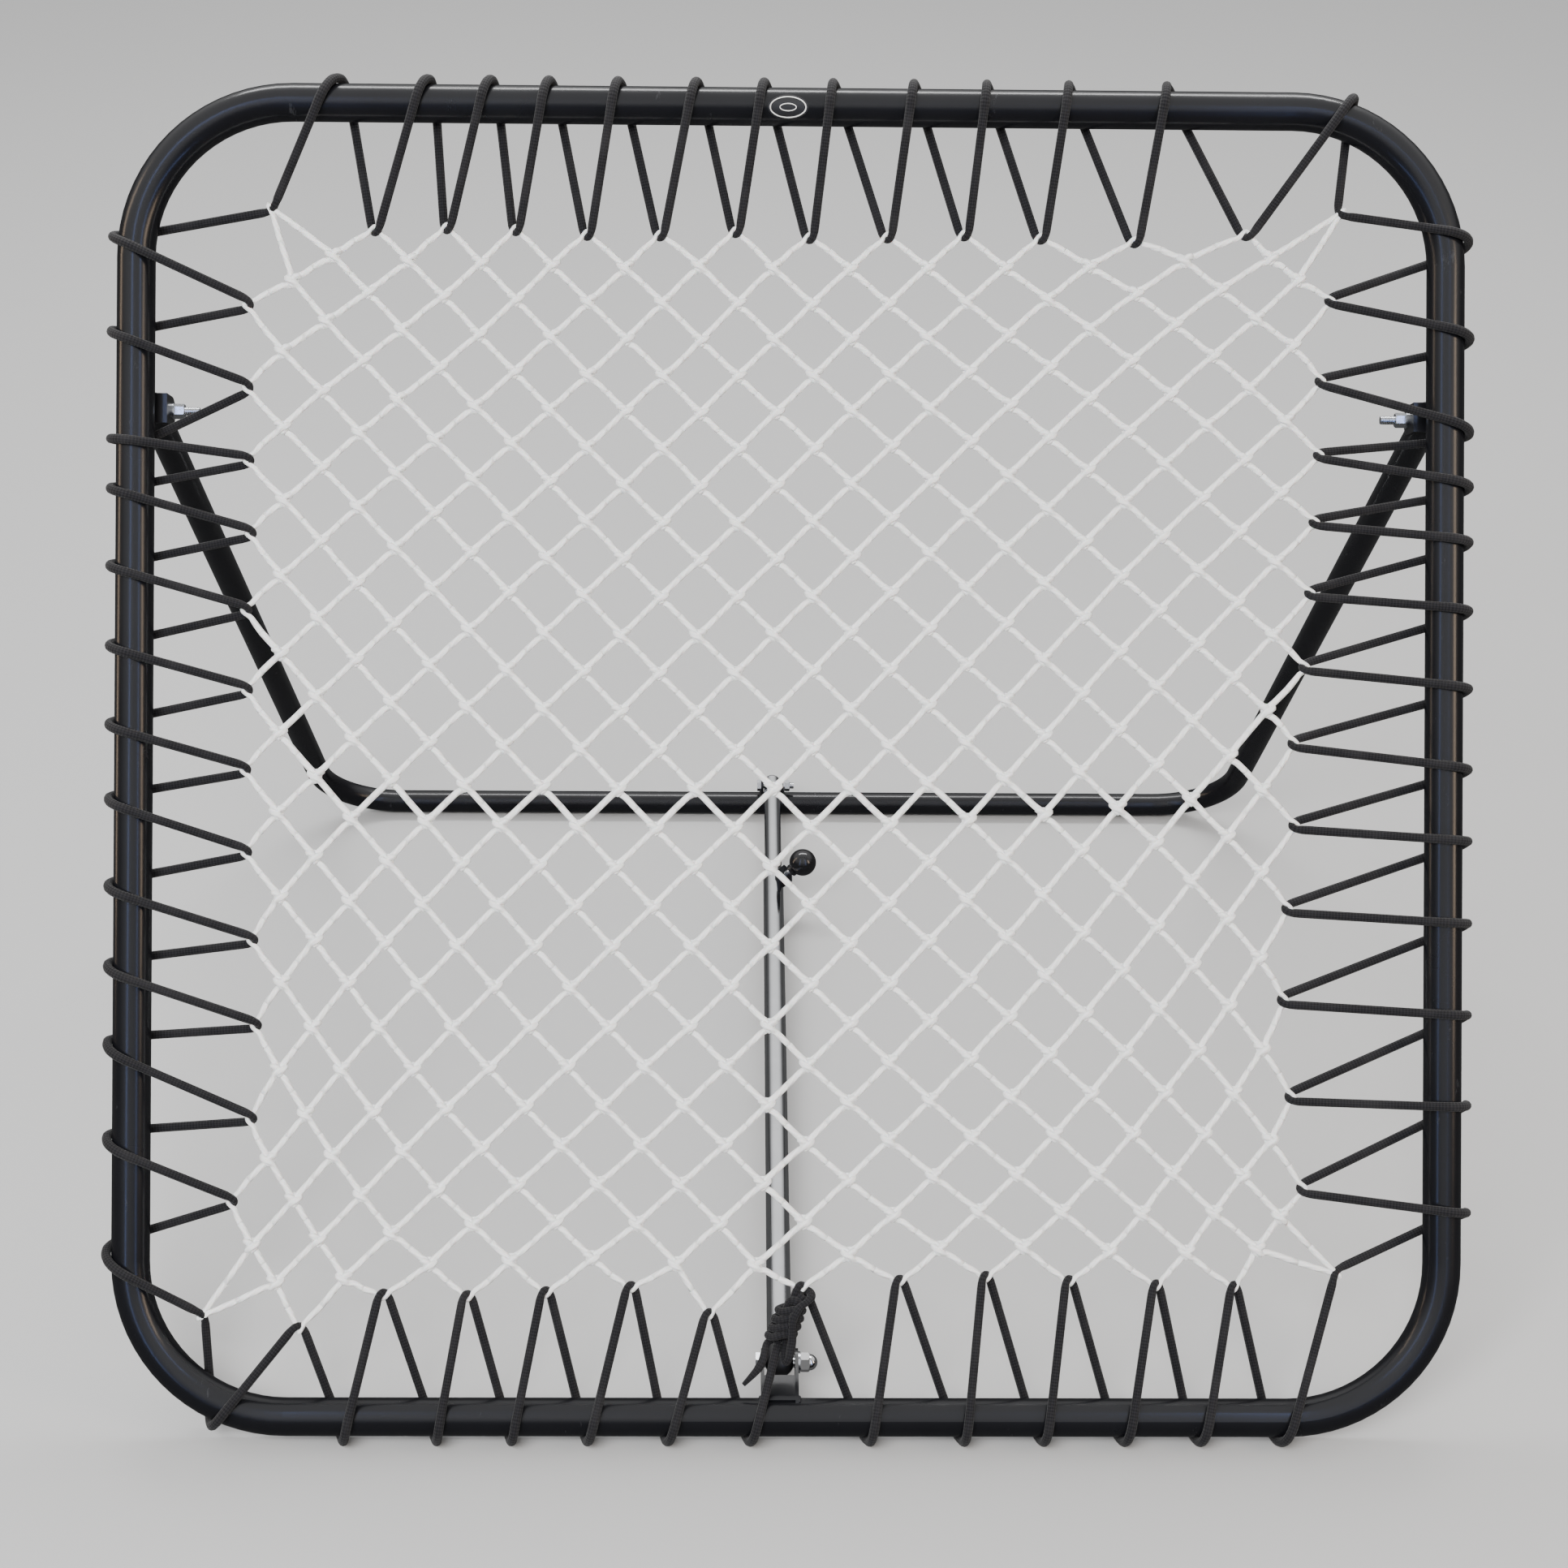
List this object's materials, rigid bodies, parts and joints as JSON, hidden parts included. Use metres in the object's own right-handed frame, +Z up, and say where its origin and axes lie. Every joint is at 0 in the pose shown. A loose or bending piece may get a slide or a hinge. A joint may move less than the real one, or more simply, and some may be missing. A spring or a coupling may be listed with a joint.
{
  "type": "pitch back rebounder",
  "caption": "Square leaning tube frame with a knotted net laced in by elastic cord, held up by a hinged U-shaped rear leg and a telescopic ground strut with a clamp knob.",
  "frame": {"origin": "on the ground, under the middle of the whole object's box", "axes": "+X to the right of someone facing the net, +Y back from the net to the rear leg, +Z up"},
  "size_m": [1.0146, 0.8658, 0.8528],
  "materials": {
    "powder_coated_tube": "black powder coat, satin gloss",
    "powder_coated_plate": "black powder coat, satin gloss",
    "bare_steel": "plain drawn steel",
    "black_screw": "black zinc",
    "zinc_plate": "bright zinc plate",
    "chrome_plate": "polished chrome",
    "chrome_tube": "polished plated tube",
    "elastic_cord": "braided textile sheath, charcoal black",
    "net_twine": "white knotted nylon twine",
    "badge_plate": "gloss black with a pale ring",
    "black_plastic": "moulded black plastic",
    "knob_plastic": "glossy black ball knob"
  },
  "bodies": {
    "frame": {"frame_left_tube": "powder_coated_tube", "frame_right_tube": "powder_coated_tube", "frame_sleeves": "bare_steel", "frame_joint_screws": "black_screw", "pivot_bracket_left": "powder_coated_plate", "pivot_bracket_right": "powder_coated_plate", "pivot_bolts": "zinc_plate", "pivot_washers": "zinc_plate", "pivot_nuts": "zinc_plate", "front_strut_bracket": "powder_coated_plate", "front_strut_bolt": "zinc_plate", "front_strut_washer": "zinc_plate", "front_dome_nut": "chrome_plate", "lacing_left": "elastic_cord", "lacing_top": "elastic_cord", "lacing_right": "elastic_cord", "lacing_bottom_right": "elastic_cord", "lacing_bottom_left": "elastic_cord", "lacing_knot": "elastic_cord", "net": "net_twine", "badge": "badge_plate"},
    "rear_leg": {"rear_leg_left": "powder_coated_tube", "rear_leg_right": "powder_coated_tube", "rear_leg_sleeve": "bare_steel", "leg_plug_left": "black_plastic", "leg_plug_right": "black_plastic", "rear_clevis": "powder_coated_plate", "rear_strut_bolt": "zinc_plate", "rear_strut_washer": "zinc_plate", "rear_strut_nut": "zinc_plate"},
    "strut_outer": {"strut_outer_tube": "chrome_tube", "strut_front_cap": "black_plastic", "clamp_boss": "powder_coated_plate"},
    "strut_inner": {"strut_inner_tube": "chrome_tube", "strut_rear_plug": "black_plastic"},
    "clamp": {"clamp_screw": "zinc_plate", "clamp_knob": "knob_plastic"}
  },
  "joints": [
    {"name": "rear_leg_fold", "type": "hinge", "parent": "frame", "child": "rear_leg", "pos_m": [0, 0.02773, 0.62661], "axis": [1, 0, 0], "range_deg": [-10.5, 12.5]},
    {"name": "strut_front_pivot", "type": "hinge", "parent": "frame", "child": "strut_outer", "pos_m": [-0.006, -0.36647, 0.03223], "axis": [1, 0, 0], "range_deg": [-6.5, 6.5]},
    {"name": "strut_rear_pivot", "type": "hinge", "parent": "rear_leg", "child": "strut_inner", "pos_m": [-0.006, 0.42194, 0.03223], "axis": [1, 0, 0], "range_deg": [-6.5, 6.5]},
    {"name": "clamp_turn", "type": "hinge", "parent": "strut_outer", "child": "clamp", "pos_m": [0.0215, 0.25253, 0.05698], "axis": [0.7431, 0, 0.6691], "range_deg": [0, 720]}
  ],
  "couplings": [
    {"joint": "strut_front_pivot", "follows": "rear_leg_fold", "ratio": 0.5},
    {"joint": "strut_rear_pivot", "follows": "rear_leg_fold", "ratio": -0.5}
  ]
}
